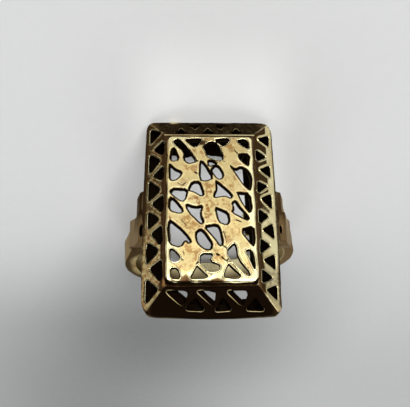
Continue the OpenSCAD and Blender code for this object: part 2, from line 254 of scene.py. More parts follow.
def makeGold():
    gold = {
        # the near-black is painted shade in the hollows and dark dirt; the dark brown is tarnish and painted
        # shade; pale is worn gold and painted highlight
        "warm": (0.62, 0.49, 0.225),
        "pale": (0.95, 0.85, 0.5),
        "brown": (0.36, 0.2, 0.065),
        "stain": (0.3, 0.14, 0.04),
        "dull": (0.17, 0.108, 0.048),
        "tarnishAndShade": (0.05, 0.026, 0.01),
        "shadeAndDirt": (0.006, 0.003, 0.0015),
        "sheen": (0.95, 0.82, 0.62),
    }
    # how big the clouds are, how far they stir each layer, and from where to where a layer fades in
    cloudScale = {"blotch": 420, "fine": 2600, "brown": 800}
    blotchStir = {"pale": 1.3, "stain": 0.8}
    fineStir = {"pale": 0.8, "stain": 2.2, "tarnishAndShade": 0.5, "shadeAndDirt": 0.5, "brown": 0.9}
    fade = {"pale": (0.2, 0.9), "stain": (0.5, 1.1), "stainEdge": (0.0, 0.35), "tarnishAndShade": (0.15, 0.85),
            "shadeAndDirt": (0.1, 0.7), "shadeAndDirtEdge": (0.0, 0.3), "brown": (0.46, 0.68)}
    roughness = {"polish": 0.2, "fine": 0.12, "dull": 0.15, "tarnishAndShade": 0.12, "shadeAndDirt": 0.1}
    relief = {"blotch": 0.6, "fine": 0.08, "strength": 0.35, "distance": 0.00012}
    brownShare = 0.95
    shadeAndDirtLoss = 0.75
    material = bpy.data.materials.new("wornGold")
    material.use_nodes = True
    tree = material.node_tree
    shader = tree.nodes["Principled BSDF"]
    shader.inputs["Specular IOR Level"].default_value = 0.0
    shader.inputs["Specular Tint"].default_value = colour(*gold["sheen"])
    place = Wire.node(tree, "ShaderNodeTexCoord", out="Object")

    def mask(name):
        return Wire.node(tree, "ShaderNodeAttribute", {"attribute_name": name}, out="Fac")

    def cloud(name, detail=3.0, coarse=0.55):
        return Wire.node(tree, "ShaderNodeTexNoise", {},
                         {"Vector": place, "Scale": cloudScale[name], "Detail": detail, "Roughness": coarse})

    # on calm places nothing is mottled
    restless = 1 - mask("calm")
    blotch = 0.5 + (cloud("blotch") - 0.5) * restless
    fine = 0.5 + (cloud("fine", 4.0, 0.65) - 0.5) * restless
    pale = mask("pale") + (blotch - 0.5) * blotchStir["pale"] + (fine - 0.5) * fineStir["pale"]
    pale = pale.step(*fade["pale"])
    stain = mask("stain") + (fine - 0.5) * fineStir["stain"] + (blotch - 0.5) * blotchStir["stain"]
    stain = stain.step(*fade["stain"]) * mask("stain").step(*fade["stainEdge"])
    tarnishAndShade = (mask("tarnishAndShade") + (fine - 0.5) * fineStir["tarnishAndShade"]).step(*fade["tarnishAndShade"])
    shadeAndDirt = mask("shadeAndDirt") + (fine - 0.5) * fineStir["shadeAndDirt"] * mask("shadeAndDirt").step(*fade["shadeAndDirtEdge"])
    shadeAndDirt = shadeAndDirt.step(*fade["shadeAndDirt"])
    dull = mask("dull")
    brown = (cloud("brown") + (fine - 0.5) * fineStir["brown"]).step(*fade["brown"]) * brownShare * restless
    base = brown.blend(colour(*gold["warm"]), colour(*gold["brown"]))
    layers = {"pale": pale, "dull": dull, "stain": stain, "tarnishAndShade": tarnishAndShade, "shadeAndDirt": shadeAndDirt}
    for name, layer in layers.items():
        base = layer.blend(base, colour(*gold[name]))
    tree.links.new(base.socket, shader.inputs["Base Color"])
    rough = roughness["polish"] + roughness["fine"] * fine + roughness["dull"] * dull
    rough = rough + roughness["tarnishAndShade"] * tarnishAndShade + roughness["shadeAndDirt"] * shadeAndDirt
    tree.links.new(rough.socket, shader.inputs["Roughness"])
    metal = 1 - shadeAndDirtLoss * shadeAndDirt
    tree.links.new(metal.socket, shader.inputs["Metallic"])
    height = blotch * relief["blotch"] + fine * relief["fine"]
    bump = Wire.node(tree, "ShaderNodeBump", {},
                     {"Strength": relief["strength"], "Distance": relief["distance"], "Height": height})
    tree.links.new(bump.socket, shader.inputs["Normal"])
    return material


# Shape of the head, in its own middle, used to tell the outer face from the hollow

head = {
    "shift": -0.25, "tableZ": 14.5, "ledgeZ": 13.87, "rimZ": 12.5,
    "tableX": 4.55, "tableY": 8.05, "ledgeX": 4.83, "ledgeY": 8.52,
    "rimX": 6.9, "near": 11.0, "far": 10.8,
    "gapX": 6.75, "gapNear": -10.8, "gapFar": 10.6, "slopeEnd": 1.2,
}


def headPlace(points):
    return points[:, 0] - head["shift"], points[:, 1], points[:, 2]


def acrossFrame(x, y):
    # how far a place is up the sloping frame: 0 at the ledge, 1 at the rim, at the ends and at the sides
    rimY = np.where(y < 0, head["near"], head["far"])
    endOn = (np.abs(y) - head["ledgeY"]) / (rimY - head["ledgeY"])
    sideOn = (np.abs(x) - head["ledgeX"]) / (head["rimX"] - head["ledgeX"])
    return endOn, sideOn


def outerHeight(x, y):
    # the frame's slope goes on a little past the rim
    endOn, sideOn = acrossFrame(x, y)
    slope = np.clip(np.maximum(sideOn, endOn), 0, head["slopeEnd"])
    frameZ = head["ledgeZ"] - slope * (head["ledgeZ"] - head["rimZ"])
    onTable = (np.abs(x) < head["tableX"]) & (np.abs(y) < head["tableY"])
    return np.where(onTable, head["tableZ"], frameZ)


def faceNormal(x, y):
    # which way the head's outer face looks at a place: up on the table, sloping on the frame
    endOn, sideOn = acrossFrame(x, y)
    drop = head["ledgeZ"] - head["rimZ"]
    endSlope = drop / (head["near"] - head["ledgeY"])
    sideSlope = drop / (head["rimX"] - head["ledgeX"])
    onFrame = np.maximum(endOn, sideOn) > 0
    onEnd = onFrame & (endOn > sideOn)
    onSide = onFrame & (endOn <= sideOn)
    way = np.stack([sideSlope * np.sign(x) * onSide, endSlope * np.sign(y) * onEnd, np.ones(len(x))], 1)
    return way / np.linalg.norm(way, axis=1)[:, None]


def smooth(values, low, high):
    t = np.clip((values - low) / (high - low), 0, 1)
    return t * t * (3 - 2 * t)


def blob(x, y, middleX, middleY, wide, long):
    # 1 in the middle of a soft round patch, fading over its half width and half length
    return np.exp(-((x - middleX) / wide) ** 2 - ((y - middleY) / long) ** 2)


def readPoints(mesh, field="co"):
    source = mesh.vertices if field == "co" else mesh.vertex_normals
    found = np.empty(len(mesh.vertices) * 3)
    source.foreach_get("co" if field == "co" else "vector", found)
    return found.reshape(-1, 3)


def writePoints(mesh, points):
    mesh.vertices.foreach_set("co", points.astype(np.float32).ravel())
    mesh.update()


def evaluated(thing):
    graph = bpy.context.evaluated_depsgraph_get()
    return bpy.data.meshes.new_from_object(thing.evaluated_get(graph))


def relax(mesh, points, rounds):
    # moves each point towards the middle of its neighbours, and out again so that nothing shrinks
    pulls = (0.5, -0.52)
    size = len(points)
    edges = np.empty(len(mesh.edges) * 2, np.int32)
    mesh.edges.foreach_get("vertices", edges)
    a, b = edges.reshape(-1, 2).T
    count = np.bincount(a, minlength=size) + np.bincount(b, minlength=size)
    for turn in range(rounds):
        for pull in pulls:
            total = [np.bincount(a, points[b, k], size) + np.bincount(b, points[a, k], size)
                     for k in range(3)]
            points = points + pull * (np.stack(total, 1) / count[:, None] - points)
    return points


# The ring itself: the solid remeshed, worn round at its edges and cut as by hand

def makeBody(node):
    body = {
        "merge": 0.0001, "voxel": 0.08, "triangles": 190000, "fine": 0.35, "rounds": 6,
        "wobble": 0.03, "wave": 1.7, "cutFade": 0.4, "cutLow": 11.0,
        "hole": 9.0, "holeNear": 0.12, "holeWide": 1.35, "holeTop": 8.4,
    }
    mesh = node.data.copy()
    mesh.transform(floorToRing)
    work = bmesh.new()
    work.from_mesh(mesh)
    bmesh.ops.remove_doubles(work, verts=work.verts, dist=body["merge"])
    bmesh.ops.recalc_face_normals(work, faces=work.faces)
    loops = gapLoops(work) + [addBar(work, *bar) for bar in thinBars]
    work.to_mesh(mesh)
    work.free()
    shape = bpy.data.objects.new("shape", mesh)
    bpy.context.collection.objects.link(shape)
    net = shape.modifiers.new("net", "REMESH")
    net.mode = "VOXEL"
    net.voxel_size = body["voxel"]
    dense = evaluated(shape)
    shape.modifiers.clear()
    shape.data = dense
    points = relax(dense, readPoints(dense), body["rounds"])
    writePoints(dense, points)
    # the head's face keeps all its points, the rest is thinned
    x, y, z = headPlace(points)
    inner = np.flatnonzero(outerHeight(x, y) - z > body["fine"])
    coarse = shape.vertex_groups.new(name="coarse")
    coarse.add(inner.tolist(), 1.0, "REPLACE")
    thin = shape.modifiers.new("thin", "DECIMATE")
    thin.ratio = body["triangles"] / (2 * len(points))
    thin.vertex_group = "coarse"
    fine = evaluated(shape)
    bpy.data.objects.remove(shape)
    normals = readPoints(fine, "normal")
    points = readPoints(fine)
    x, y, z = headPlace(points)
    byGap = np.exp(-(gapDistance(points, loops) / body["cutFade"]) ** 2)
    points += handCut(points) * byGap[:, None] * (z > body["cutLow"])[:, None]
    loops = [[Vector(p) for p in run + handCut(run)] for run in (np.array(loop) for loop in loops)]
    points, walls = shapeBody(points, normals)
    # thinning leaves the finger hole uneven, so its points go back onto a round
    reach = np.hypot(points[:, 0], points[:, 2])
    inHole = (np.abs(reach - body["hole"]) < body["holeNear"]) & (points[:, 2] < body["holeTop"])
    inHole &= np.abs(points[:, 1]) < body["holeWide"]
    points[inHole] *= np.stack([body["hole"] / reach, np.ones(len(reach)), body["hole"] / reach], 1)[inHole]
    lift = np.array([noise.noise(Vector(p) / body["wave"]) for p in points]) * (1 - inHole)
    points += normals * (lift * body["wobble"])[:, None]
    writePoints(fine, points)
    triangles = sum(len(f.vertices) - 2 for f in fine.polygons)
    print("body points:", len(points), "triangles:", triangles)
    return fine, loops, walls


# Thin bars between the table's near gaps: both ends in x and y, and width
thinBars = [(-1.45, -6.1, -0.1, -7.4, 0.24), (1.55, -5.75, 2.8, -7.1, 0.26)]


def addBar(work, x0, y0, x1, y1, wide):
    bar = {"low": 13.95, "high": 14.47}
    along = Vector((x1 - x0, y1 - y0, 0))
    side = Vector((-along.y, along.x, 0)).normalized() * wide / 2
    start = Vector((x0 + head["shift"], y0, 0))
    corners = [start + side, start - side, start + along - side, start + along + side]
    low = [work.verts.new(p + Vector((0, 0, bar["low"]))) for p in corners]
    high = [work.verts.new(p + Vector((0, 0, bar["high"]))) for p in corners]
    work.faces.new(low[::-1])
    work.faces.new(high)
    for i in range(4):
        k = (i + 1) % 4
        work.faces.new((low[i], low[k], high[k], high[i]))
    return [v.co.copy() for v in high]


def gapLoops(work):
    # the outer edges of the head's gaps, as closed runs of points
    seen = {"flat": 0.75, "wall": 0.6, "close": 0.12, "least": 5}
    links = {}
    for edge in work.edges:
        if len(edge.link_faces) != 2 or not edge.is_convex:
            continue
        flat, wall = sorted(edge.link_faces, key=lambda f: -f.normal.z)
        middle = (edge.verts[0].co + edge.verts[1].co) / 2
        x, y = middle.x - head["shift"], middle.y
        if flat.normal.z < seen["flat"] or abs(wall.normal.z) > seen["wall"]:
            continue
        if abs(x) > head["gapX"] or not head["gapNear"] < y < head["gapFar"]:
            continue
        if abs(middle.z - float(outerHeight(np.array(x), np.array(y)))) > seen["close"]:
            continue
        for a, b in (edge.verts, reversed(edge.verts)):
            links.setdefault(a, []).append(b)
    loops = []
    left = dict.fromkeys(links)
    while left:
        start = next(iter(left))
        left.pop(start)
        run, last = [start], None
        here = start
        while True:
            ways = [v for v in links[here] if v is not last and (v in left or v is start)]
            if not ways or ways[0] is start:
                break
            last, here = here, ways[0]
            left.pop(here)
            run.append(here)
        if len(run) > seen["least"]:
            loops.append([v.co.copy() for v in run])
    print("gap loops:", len(loops))
    return loops


def gapDistance(points, loops):
    # how far each point is from the nearest edge of a gap, seen along z
    spacing = 0.06
    places = []
    for run in loops:
        for a, b in zip(run, run[1:] + run[:1]):
            steps = max(1, round((b - a).length / spacing))
            places += [a.lerp(b, k / steps) for k in range(steps)]
    tree = KDTree(len(places))
    for i, place in enumerate(places):
        tree.insert((place.x, place.y, 0), i)
    tree.balance()
    return np.array([tree.find((px, py, 0))[2] for px, py in points[:, :2]])


def handCut(points):
    # how far a saw wandered at each point, in x and y
    wander = {"far": 0.09, "wave": 1.1, "seed": 5}
    noise.seed_set(wander["seed"])
    moves = np.array([noise.noise_vector(Vector((px, py, 0)) / wander["wave"]) for px, py in points[:, :2]])
    moves[:, 2] = 0
    return moves * wander["far"]


def shapeBody(points, normals):
    # what the solid's plain walls and edges lack: every push is worked out from the unmoved points
    x, y, z = headPlace(points)
    depth = outerHeight(x, y) - z
    moved = points.copy()
    walls = narrowGaps(moved, normals, x, y, z, depth)
    dentTable(moved, x, y, depth)
    thickenGallery(moved, normals, x, y, z, depth)
    moveHoopEnd(moved, x, y, z)
    return moved, walls


def narrowGaps(moved, normals, x, y, z, depth):
    # the table's gaps narrow towards the back, a little more so away from its two ends
    gap = {
        "tableX": 4.42, "tableY": 7.93, "edge": 0.04, "more": 0.03, "moreNear": (-5.5, -4.5),
        "moreFar": (-6.5, -5.5), "back": 0.1, "taper": (0.05, 0.45), "frame": -0.05, "leftFrame": -0.12,
        "leftFrom": -5.2, "thinner": 0.35, "sheet": 0.6, "bend": (0.06, 0.35), "deepest": 1.0, "low": 11.5,
        "past": 0.02, "outermost": -0.1,
    }
    # the frame's windows at the near end: their walls lean, each side by its own amount
    window = {"near": -10.2, "wide": 5.0, "edge": 0.08, "taper": (0.0, 0.6), "facesNear": -0.5,
              "end": -0.4, "leftUpTo": -1.8, "farLeft": 0.75, "left": 0.4, "right": 0.25}
    inHead = (depth < gap["deepest"]) & (np.abs(x) < head["gapX"]) & (z > gap["low"])
    inHead &= (y > head["gapNear"]) & (y < head["gapFar"])
    onTable = (np.abs(x) < gap["tableX"]) & (np.abs(y) < gap["tableY"])
    offLedge = (np.abs(x) > head["ledgeX"] - gap["past"]) | (np.abs(y) > head["ledgeY"] - gap["past"])
    bend = 1 - np.sum(normals * faceNormal(x, y), 1)
    walls = smooth(bend, *gap["bend"]) * inHead * (onTable | offLedge)
    frame = np.where(x < gap["leftFrom"], gap["leftFrame"], gap["frame"]) * offLedge
    more = gap["more"] * smooth(y, *gap["moreNear"]) * smooth(-y, *gap["moreFar"])
    push = np.where(onTable, gap["edge"] + more + gap["back"] * smooth(depth, *gap["taper"]), frame)
    nearWindow = (y < -head["ledgeY"]) & (y > window["near"]) & (np.abs(x) < window["wide"])
    leftWall = np.where(x < window["leftUpTo"], window["farLeft"], window["left"])
    inward = np.where(normals[:, 0] > 0, leftWall, window["right"])
    inward = np.where(normals[:, 1] < window["facesNear"], window["end"], inward)
    push = np.where(nearWindow, window["edge"] + smooth(depth, *window["taper"]) * inward, push)
    moved[:, :2] += normals[:, :2] * (push * walls)[:, None]
    moved[:, 2] += gap["thinner"] * np.clip(depth, 0, gap["sheet"]) * onTable * inHead
    return walls * (depth > gap["outermost"])


# Dents in the table's near edge: middle, half width, half length and depth
tableDents = [(-2.6, -8.3, 0.9, 0.8, 0.25), (-0.3, -8.3, 1.2, 0.55, 0.2), (-4.4, -8.3, 0.9, 0.6, 0.2)]


def dentTable(moved, x, y, depth):
    skin = {"depth": 1.2, "long": 8.4}
    for dentX, dentY, wide, long, deep in tableDents:
        near = blob(x, y, dentX, dentY, wide, long)
        moved[:, 2] -= deep * near * (depth < skin["depth"]) * (np.abs(y) < skin["long"])


def thickenGallery(moved, normals, x, y, z, depth):
    # the gallery's walls are thicker at their foot, at the far end and on the right
    foot = {
        "far": 0.5, "near": 0.35, "right": 0.05, "slant": 0.4, "slantLength": 4, "left": 0.25,
        "low": 8.7, "high": 12.0, "from": 8.0, "inside": 0.9, "faces": 0.4,
        "endFrom": 7.0, "rightFrom": 3.4, "leftFrom": -3.2, "sideLong": 9.0, "farFrom": (-3.6, -2.6),
    }
    low = smooth(-z, -foot["high"], -foot["low"]) * (z > foot["from"]) * (depth > foot["inside"])
    alongSide = np.abs(y) < foot["sideLong"]
    farWall = low * (y > foot["endFrom"]) * (normals[:, 1] < -foot["faces"]) * smooth(x, *foot["farFrom"])
    nearWall = low * (y < -foot["endFrom"]) * (normals[:, 1] > foot["faces"])
    rightWall = low * (x > foot["rightFrom"]) * (normals[:, 0] < -foot["faces"]) * alongSide
    leftWall = low * (x < foot["leftFrom"]) * (normals[:, 0] > foot["faces"]) * alongSide
    slant = foot["slant"] * np.clip(y / foot["slantLength"], -1, 1)
    moved[:, 1] += foot["near"] * nearWall - foot["far"] * farWall
    moved[:, 0] -= (foot["right"] + slant) * rightWall + foot["left"] * leftWall


def moveHoopEnd(moved, x, y, z):
    # the hoop's left end stands a little further out inside the head
    hoop = {"out": 0.4, "low": (6.8, 7.8), "top": 9.3, "wide": 1.7, "left": (-5.0, -4.6), "right": (3.2, 3.7)}
    hoopEnd = smooth(z, *hoop["low"]) * (z < hoop["top"]) * (np.abs(y) < hoop["wide"])
    hoopEnd = hoopEnd * smooth(x, *hoop["left"]) * smooth(-x, *hoop["right"])
    moved[:, 0] -= hoop["out"] * hoopEnd


def shading(mesh):
    # dark where most short rays from a point meet the ring again
    rays = {"count": 12, "reach": 2.5, "lowest": 0.15, "clear": 0.05, "dark": (0.5, 0.9)}
    points = readPoints(mesh)
    normals = readPoints(mesh, "normal")
    tree = BVHTree.FromPolygons(points.tolist(), [tuple(f.vertices) for f in mesh.polygons])
    golden = math.pi * (3 - math.sqrt(5))
    fan = []
    for k in range(rays["count"]):
        up = rays["lowest"] + (1 - rays["lowest"]) * (k + 0.5) / rays["count"]
        side = math.sqrt(1 - up * up)
        fan.append((side * math.cos(k * golden), side * math.sin(k * golden), up))
    found = np.zeros(len(points))
    cast = tree.ray_cast
    for i, (p, n) in enumerate(zip(points, normals)):
        axis = Vector(n)
        turn = axis.to_track_quat("Z", "Y")
        start = Vector(p) + axis * rays["clear"]
        met = sum(cast(start, turn @ Vector(ray), rays["reach"])[0] is not None for ray in fan)
        found[i] = met / rays["count"]
    return smooth(found, *rays["dark"])


# Scratches and stains on the table, from the head's middle: kind, both ends, width and strength
marks = [
    ("scratch", -2.4, 5.8, -1.3, 5.0, 0.08, 1.0),
    ("scratch", 2.6, 6.3, 3.1, 5.7, 0.07, 0.9),
    ("scratch", 1.1, -4.3, 1.5, -4.6, 0.08, 0.9),
    ("scratch", 0.5, -5.2, 0.7, -5.3, 0.12, 1.0),
    ("scratch", 1.0, -5.5, 1.3, -5.8, 0.09, 0.8),
    ("scratch", 2.5, -1.6, 3.0, -1.8, 0.1, 0.7),
    ("scratch", 1.2, -2.8, 1.4, -3.5, 0.07, 0.7),
    ("scratch", 1.4, -3.5, 1.5, -4.1, 0.06, 0.5),
    ("scratch", -3.0, -1.6, -2.5, -2.2, 0.08, 0.6),
    ("scratch", -3.4, 2.5, -2.9, 2.2, 0.08, 0.6),
    ("scratch", -2.9, 2.2, -2.6, 2.5, 0.08, 0.7),
    ("scratch", 0.1, -4.6, 0.4, -4.8, 0.08, 0.6),
    ("scratch", -2.8, -4.9, -2.7, -5.3, 0.08, 0.5),
    ("scratch", -2.9, -5.8, -2.8, -5.8, 0.1, 0.7),
    ("scratch", -1.6, 3.7, -1.4, 3.6, 0.11, 0.9),
    ("scratch", 1.4, 5.0, 1.5, 5.0, 0.1, 0.7),
    ("stain", -2.1, 0.8, -1.5, 0.9, 0.25, 0.8),
    ("stain", -1.4, 0.8, -1.1, 0.3, 0.25, 0.8),
    ("stain", -0.4, 1.5, 0.0, 1.5, 0.2, 1.0),
    ("stain", -0.3, 2.8, -0.3, 0.6, 0.25, 0.6),
    ("stain", -0.4, 0.0, -0.3, -0.6, 0.22, 1.0),
    ("stain", -0.5, -1.2, -0.2, -1.0, 0.3, 0.8),
    ("stain", 0.3, 0.2, 1.3, 0.0, 0.35, 0.7),
    ("stain", -4.2, -1.0, -4.1, -1.4, 0.2, 0.8),
    ("stain", -2.9, -1.4, -1.9, -2.1, 0.35, 0.6),
    ("stain", -1.3, 6.3, -1.1, 5.7, 0.2, 0.6),
    ("stain", -2.4, 4.0, -1.9, 3.6, 0.5, 0.4),
    ("stain", -2.6, -4.0, -1.9, -5.0, 0.6, 0.4),
    ("stain", 1.2, -2.6, 1.9, -3.4, 0.5, 0.4),
    ("stain", 0.2, -4.7, 1.0, -5.4, 0.3, 0.5),
]

# Patches of painted shade on the table: middle, half width and half length
darkPatches = [(-2.6, -7.8, 0.7, 0.8), (0.45, -8.0, 1.1, 0.6), (-0.9, 7.2, 0.9, 0.4)]


def strokes(kind, x, y):
    # how strongly each point is marked: 1 on a stroke, fading to 0 over its width
    soften = {"scratch": 1, "stain": 1.5}
    found = np.zeros(len(x))
    for name, x0, y0, x1, y1, wide, deep in marks:
        if name != kind:
            continue
        runX, runY = x1 - x0, y1 - y0
        along = np.clip(((x - x0) * runX + (y - y0) * runY) / (runX ** 2 + runY ** 2), 0, 1)
        away = np.hypot(x - x0 - along * runX, y - y0 - along * runY)
        found = np.maximum(found, deep * np.exp(-(away / (wide * soften[kind])) ** 2))
    return found


# Wear, dirt, painted shade and painted highlights as attributes, from where each point sits on the ring.
# In these dictionaries a pair is where a fade starts and where it is full, and other numbers
# are limits in millimetres or strengths from 0 to 1.

def paint(mesh, loops, walls, shaded):
    hoop = {"wall": (-9.3, -9.1), "wide": 1.9, "top": 8.5}
    points = readPoints(mesh)
    facing = readPoints(mesh, "normal")
    x, y, z = headPlace(points)
    reach = np.hypot(points[:, 0], z)
    away = gapDistance(points, loops)
    masks = {name: np.zeros(len(x)) for name in ("shadeAndDirt", "tarnishAndShade", "pale", "stain", "dull", "calm")}
    inHoop = smooth(-reach, *hoop["wall"]) * (np.abs(y) < hoop["wide"]) * (z < hoop["top"])
    outward = galleryOutside(x, y, z, facing)
    paintHollows(masks, x, y, z, walls, shaded)
    paintFrame(masks, x, y, z, away)
    paintTable(masks, x, y, z, away)
    # the finger hole and the gallery's outside lose the hollows' painted shade and are dull instead
    masks["shadeAndDirt"] *= (1 - inHoop) * (1 - outward)
    paintGallery(masks, x, y, z, outward)
    paintShank(masks, x, y, z, reach, facing)
    paintHole(masks, y, inHoop)
    paintFarHighlights(masks, x, y, z)
    writeMasks(mesh, masks)
    print("wear painted")


def deepen(masks, name, values):
    masks[name] = np.maximum(masks[name], values)


def paintHollows(masks, x, y, z, walls, shaded):
    # painted shade: near-black inside the hollow head, on the gaps' walls, and where short rays meet the ring
    # close around
    hollow = {"depth": (0.15, 0.35), "wide": 6.6, "near": -10.75, "far": 10.55, "low": 8.6}
    within = (np.abs(x) < hollow["wide"]) & (y > hollow["near"]) & (y < hollow["far"]) & (z > hollow["low"])
    deepen(masks, "shadeAndDirt", smooth(outerHeight(x, y) - z, *hollow["depth"]) * within)
    deepen(masks, "shadeAndDirt", walls)
    deepen(masks, "shadeAndDirt", shaded)


def paintFrame(masks, x, y, z, away):
    ends = {"corner": -0.15, "blend": (-0.06, 0.12), "low": 11.5, "nearShadeAndDirt": 0.95, "farShadeAndDirt": 0.6,
            "lighter": 0.6, "lighterX": (5.2, 6.4), "nearTarnishAndShade": 1.0, "farTarnishAndShade": 0.75}
    rim = {"from": (0.95, 1.02), "shadeAndDirt": 0.5}
    sides = {"low": 11.9, "groove": (0.1, 0.24), "middle": (-0.5, 0.5), "leftStain": 0.7, "rightStain": 0.35}
    left = {"base": 0.35, "groove": 0.35, "ledge": 0.35, "ledgeTo": (-0.2, 0.0),
            "far": 0.3, "farFrom": (6.5, 10.0), "rim": 0.35, "rimFrom": (0.84, 0.96),
            "nearShare": 0.2, "nearTo": (-7.5, 2.0)}
    right = {"groove": 0.85, "grooveFrom": (-2.5, 1.0), "grooveTo": (-0.7, -0.6), "ledge": 0.8,
             "ledgeTo": (-0.3, -0.05), "lip": 0.2, "lipFrom": (0.84, 0.9), "rim": 0.5, "rimFrom": (0.92, 1.0),
             "far": 0.4, "farFrom": (8.8, 10.8), "near": 0.45, "nearFrom": (4.5, 7.0),
             "nearTo": (-10.6, -9.6)}
    endOn, sideOn = acrossFrame(x, y)
    onEnd = smooth(endOn - np.maximum(sideOn, ends["corner"]), *ends["blend"]) * (z > ends["low"])
    onSide = (sideOn > 0) * (1 - onEnd) * (z > sides["low"])
    # the short ends are painted dark, the near end near-black: tarnish with a painted dark reflection,
    # lighter towards the corners
    endShadeAndDirt = np.where(y < 0, ends["nearShadeAndDirt"], ends["farShadeAndDirt"])
    deepen(masks, "shadeAndDirt", onEnd * endShadeAndDirt * (1 - ends["lighter"] * smooth(np.abs(x), *ends["lighterX"])))
    # a painted shade line along the rim's outer edge
    deepen(masks, "shadeAndDirt", rim["shadeAndDirt"] * smooth(np.maximum(sideOn, endOn), *rim["from"]) * (z > ends["low"]))
    deepen(masks, "tarnishAndShade", onEnd * np.where(y > 0, ends["farTarnishAndShade"], ends["nearTarnishAndShade"]))

    # the long sides get bands of tarnish and painted shade: in the grooves between bars, along the ledge, by
    # the rim and towards the ends
    groove = smooth(away, *sides["groove"])
    leftSide = left["base"] + left["groove"] * groove + left["ledge"] * smooth(-sideOn, *left["ledgeTo"])
    leftSide += left["far"] * smooth(y, *left["farFrom"]) + left["rim"] * smooth(sideOn, *left["rimFrom"])
    leftSide *= left["nearShare"] + (1 - left["nearShare"]) * smooth(y, *left["nearTo"])
    inGroove = groove * smooth(y, *right["grooveFrom"]) * smooth(-sideOn, *right["grooveTo"])
    rightSide = right["groove"] * inGroove + right["ledge"] * smooth(-sideOn, *right["ledgeTo"])
    rightSide += right["lip"] * smooth(sideOn, *right["lipFrom"])
    rightSide += right["rim"] * smooth(sideOn, *right["rimFrom"])
    rightSide += right["far"] * smooth(y, *right["farFrom"])
    rightSide += right["near"] * smooth(-y, *right["nearFrom"]) * smooth(y, *right["nearTo"])
    onRight = smooth(x, *sides["middle"])
    deepen(masks, "tarnishAndShade", onSide * (leftSide * (1 - onRight) + rightSide * onRight))
    deepen(masks, "stain", onSide * np.where(x < 0, sides["leftStain"], sides["rightStain"]))


def paintTable(masks, x, y, z, away):
    table = {"top": 14.0, "x": 4.45, "y": 7.95, "outline": (-0.1, -0.04), "outlineShade": 0.85,
             "far": 0.25, "farFrom": (5.2, 7.6), "dentTarnishAndShade": 1.3, "dentLow": 13.4}
    foot = {"inset": 0.03, "low": 13.2, "high": 14.33, "sideTo": 0.12, "endTo": 0.1, "tarnishAndShade": 0.85,
            "nearShadeAndDirt": 0.5, "nearX": 4.4}
    wearAndHighlight = {"base": 0.2, "edges": 0.55, "halo": 0.35, "haloFrom": (0.1, 0.14), "haloTo": (-0.26, -0.16),
              "right": (3.5, 4.3), "near": (6.6, 7.5),
              "left": 0.7, "leftFrom": (3.0, 4.2), "leftNear": (0.0, 5.0)}
    elsewhere = {"base": 0.3, "right": 0.35, "middle": (-0.5, 0.5)}
    top = z > table["top"]
    onTable = (np.abs(x) < table["x"]) & (np.abs(y) < table["y"]) & top
    # painted shade: a dark outline just inside each gap's edge
    deepen(masks, "shadeAndDirt", table["outlineShade"] * smooth(-away, *table["outline"]) * onTable)
    deepen(masks, "shadeAndDirt", strokes("scratch", x, y) * top)
    deepen(masks, "stain", strokes("stain", x, y) * top)
    deepen(masks, "tarnishAndShade", table["far"] * smooth(y, *table["farFrom"]) * top)
    # the dents and the patches are painted dark: painted shade with tarnish, darkening the dents' bright
    # reflections
    for dentX, dentY, wide, long, deep in tableDents:
        dark = blob(x, y, dentX, dentY, wide, long) * (z > table["dentLow"])
        deepen(masks, "tarnishAndShade", table["dentTarnishAndShade"] * dark)
    for patch in darkPatches:
        deepen(masks, "tarnishAndShade", blob(x, y, *patch) * top)

    endOn, sideOn = acrossFrame(x, y)
    aside = (np.abs(x) > head["tableX"] - foot["inset"]) | (np.abs(y) > head["tableY"] - foot["inset"])
    onFoot = aside & (z > foot["low"]) & (z < foot["high"])
    # the table's upright sides are painted darker, tarnish and painted shade, the near side most
    deepen(masks, "tarnishAndShade", foot["tarnishAndShade"] * onFoot * (sideOn < foot["sideTo"]) * (endOn < foot["endTo"]))
    deepen(masks, "shadeAndDirt", foot["nearShadeAndDirt"] * onFoot * (y < -head["tableY"]) * (np.abs(x) < foot["nearX"]))

    # paler on the table's right and near edges and in a halo round each gap: worn gold and painted highlight;
    # off the table the right side is painted paler, a painted highlight
    halo = smooth(away, *wearAndHighlight["haloFrom"]) * smooth(-away, *wearAndHighlight["haloTo"])
    edges = np.maximum(smooth(x, *wearAndHighlight["right"]), smooth(-y, *wearAndHighlight["near"]))
    leftEdge = wearAndHighlight["left"] * smooth(-x, *wearAndHighlight["leftFrom"]) * smooth(-y, *wearAndHighlight["leftNear"])
    edges = np.maximum(edges, leftEdge)
    onTop = wearAndHighlight["base"] + wearAndHighlight["edges"] * edges + wearAndHighlight["halo"] * halo
    offTop = elsewhere["base"] + elsewhere["right"] * smooth(x, *elsewhere["middle"])
    masks["pale"] = np.where(top, onTop, offTop)


def galleryOutside(x, y, z, facing):
    outside = {"x": 3.5, "y": 7, "faces": (0.3, 0.6), "low": 8.4, "high": 12.2}
    sideways = facing[:, 0] * np.sign(x) * (np.abs(x) > outside["x"])
    endways = facing[:, 1] * np.sign(y) * (np.abs(y) > outside["y"])
    level = (z < outside["high"]) * (z > outside["low"])
    return smooth(np.maximum(sideways, endways), *outside["faces"]) * level


def paintGallery(masks, x, y, z, outward):
    gallery = {"low": 8.6, "high": 12.33, "wide": 7.1, "long": 11.3, "tarnishAndShade": 0.8, "outside": 0.6}
    here = (z < gallery["high"]) & (z > gallery["low"]) & (np.abs(x) < gallery["wide"])
    here &= np.abs(y) < gallery["long"]
    # the gallery's inside is painted dark, tarnish and painted shade; its outside is dull
    deepen(masks, "tarnishAndShade", gallery["tarnishAndShade"] * here * (1 - gallery["outside"] * outward))
    deepen(masks, "dull", outward)


